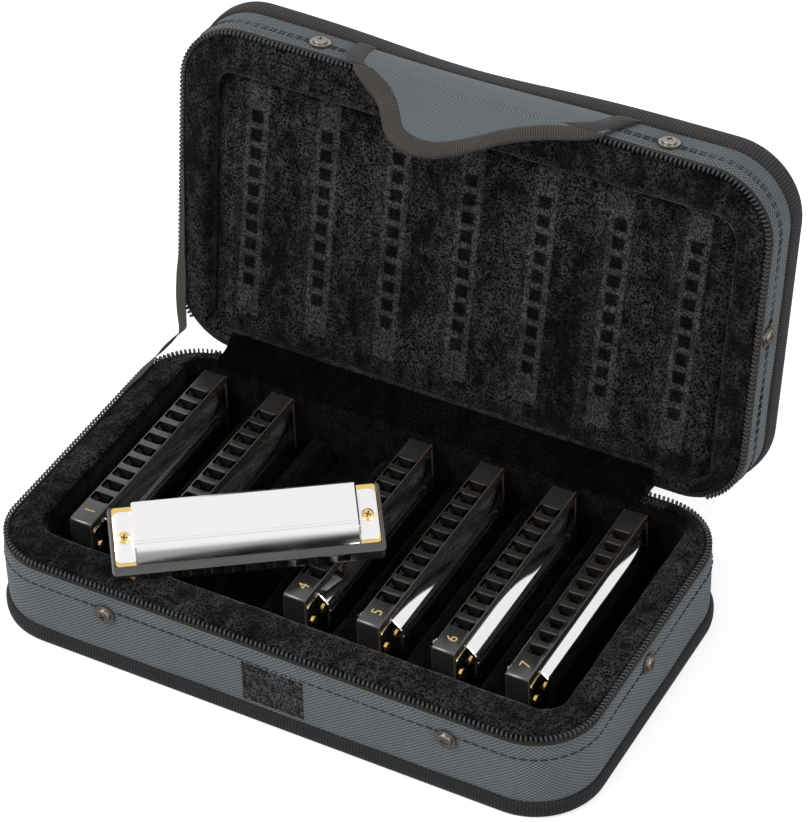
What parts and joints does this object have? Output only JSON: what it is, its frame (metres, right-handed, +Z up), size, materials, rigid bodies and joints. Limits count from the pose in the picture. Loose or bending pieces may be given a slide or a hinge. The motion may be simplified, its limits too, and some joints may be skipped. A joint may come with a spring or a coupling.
{
  "type": "harmonica case",
  "caption": "Soft zip case with a hinged padded lid, closing flap and a plush tray that holds standing diatonic harmonicas, with one lying across them.",
  "frame": {"origin": "middle of the underside of the base, where the case stands on its table", "axes": "+X to the right along the front, +Y from the front back to the hinge, +Z up"},
  "size_m": [0.2508, 0.1927, 0.1784],
  "materials": {
    "panel_cloth": "matte",
    "twill": "matte",
    "ribbed_tape": "ribbed",
    "zip_tape": "matte",
    "coil_nylon": "satin",
    "plush": "plush",
    "loop_nylon": "matte",
    "hinge_tape": "matte",
    "webbing": "matte",
    "nickel": "polished",
    "slider_metal": "satin",
    "comb_plastic": "satin",
    "reed_brass": "satin",
    "cover_steel": "polished"
  },
  "bodies": {
    "base": {"base_panel": "panel_cloth", "base_band": "twill", "base_binding": "ribbed_tape", "base_zip_tape": "zip_tape", "base_zip_coil": "coil_nylon", "base_rim_front": "plush", "base_rim_back": "plush", "base_rim_sides": "plush", "base_screws": "nickel", "tray_floor": "plush", "tray_dividers": "plush", "loop_patch": "loop_nylon", "hinge_cloth": "hinge_tape", "hinge_plush": "plush", "stay_strap": "webbing"},
    "lid": {"lid_panel": "panel_cloth", "lid_band": "twill", "lid_binding": "ribbed_tape", "lid_zip_tape": "zip_tape", "lid_zip_coil": "coil_nylon", "lid_rim_front": "plush", "lid_rim_back": "plush", "lid_rim_sides": "plush", "lid_screws": "nickel", "lid_pad": "plush", "flap_root": "twill"},
    "flap_fold": {"flap_fold": "twill"},
    "flap": {"flap_panel": "twill", "flap_binding": "ribbed_tape", "hook_patch": "loop_nylon"},
    "zip_slider": {"zip_slider": "slider_metal"},
    "zip_pull": {"zip_pull": "slider_metal"},
    "organ1": {"organ1_comb": "comb_plastic", "organ1_reed_plates": "reed_brass", "organ1_covers": "cover_steel", "organ1_screws": "reed_brass"},
    "organ2": {"organ2_comb": "comb_plastic", "organ2_reed_plates": "reed_brass", "organ2_covers": "cover_steel", "organ2_screws": "reed_brass"},
    "organ3": {"organ3_comb": "comb_plastic", "organ3_reed_plates": "reed_brass", "organ3_covers": "cover_steel", "organ3_screws": "reed_brass"},
    "organ4": {"organ4_comb": "comb_plastic", "organ4_reed_plates": "reed_brass", "organ4_covers": "cover_steel", "organ4_screws": "reed_brass"},
    "organ5": {"organ5_comb": "comb_plastic", "organ5_reed_plates": "reed_brass", "organ5_covers": "cover_steel", "organ5_screws": "reed_brass"},
    "organ6": {"organ6_comb": "comb_plastic", "organ6_reed_plates": "reed_brass", "organ6_covers": "cover_steel", "organ6_screws": "reed_brass"},
    "organ7": {"organ7_comb": "comb_plastic", "organ7_reed_plates": "reed_brass", "organ7_covers": "cover_steel", "organ7_screws": "reed_brass"}
  },
  "joints": [
    {"name": "lid_hinge", "type": "hinge", "parent": "base", "child": "lid", "pos_m": [0, 0.0709, 0.0367], "axis": [-1, 0, 0], "range_deg": [-97.6, 12], "deforming": ["lid_pad", "lid_rim_front", "hinge_cloth", "hinge_plush", "stay_strap"]},
    {"name": "flap_droop", "type": "hinge", "parent": "lid", "child": "flap_fold", "pos_m": [0.0036, 0.09214, 0.17773], "axis": [1, 0, 0], "range_deg": [-37.2, 4.7]},
    {"name": "flap_peel", "type": "hinge", "parent": "flap_fold", "child": "flap", "pos_m": [0.0036, 0.09214, 0.17773], "axis": [-1, 0, 0], "range_deg": [0, 120]},
    {"name": "zip_slide", "type": "slide", "parent": "base", "child": "zip_slider", "axis": [-1, 0, 0], "range_m": [0, 0.012]},
    {"name": "pull_swing", "type": "hinge", "parent": "zip_slider", "child": "zip_pull", "pos_m": [-0.1026, 0.077, 0.0222], "axis": [1, 0, 0], "range_deg": [0, 85]},
    {"name": "organ1_lift", "type": "slide", "parent": "base", "child": "organ1", "axis": [0, 0, 1], "range_m": [0, 0.06]},
    {"name": "organ2_shift", "type": "slide", "parent": "base", "child": "organ2", "axis": [0, 1, 0], "range_m": [-0.012, 0.001]},
    {"name": "organ3_lift", "type": "slide", "parent": "base", "child": "organ3", "axis": [0, 0, 1], "range_m": [0, 0.06]},
    {"name": "organ4_shift", "type": "slide", "parent": "base", "child": "organ4", "axis": [0, 1, 0], "range_m": [-0.012, 0.001]},
    {"name": "organ5_shift", "type": "slide", "parent": "base", "child": "organ5", "axis": [0, 1, 0], "range_m": [-0.012, 0.001]},
    {"name": "organ6_lift", "type": "slide", "parent": "base", "child": "organ6", "axis": [0, 0, 1], "range_m": [0, 0.06]},
    {"name": "organ7_lift", "type": "slide", "parent": "base", "child": "organ7", "axis": [0, 0, 1], "range_m": [0, 0.06]}
  ],
  "couplings": [
    {"joint": "flap_droop", "follows": "lid_hinge", "ratio": 0.3791}
  ]
}
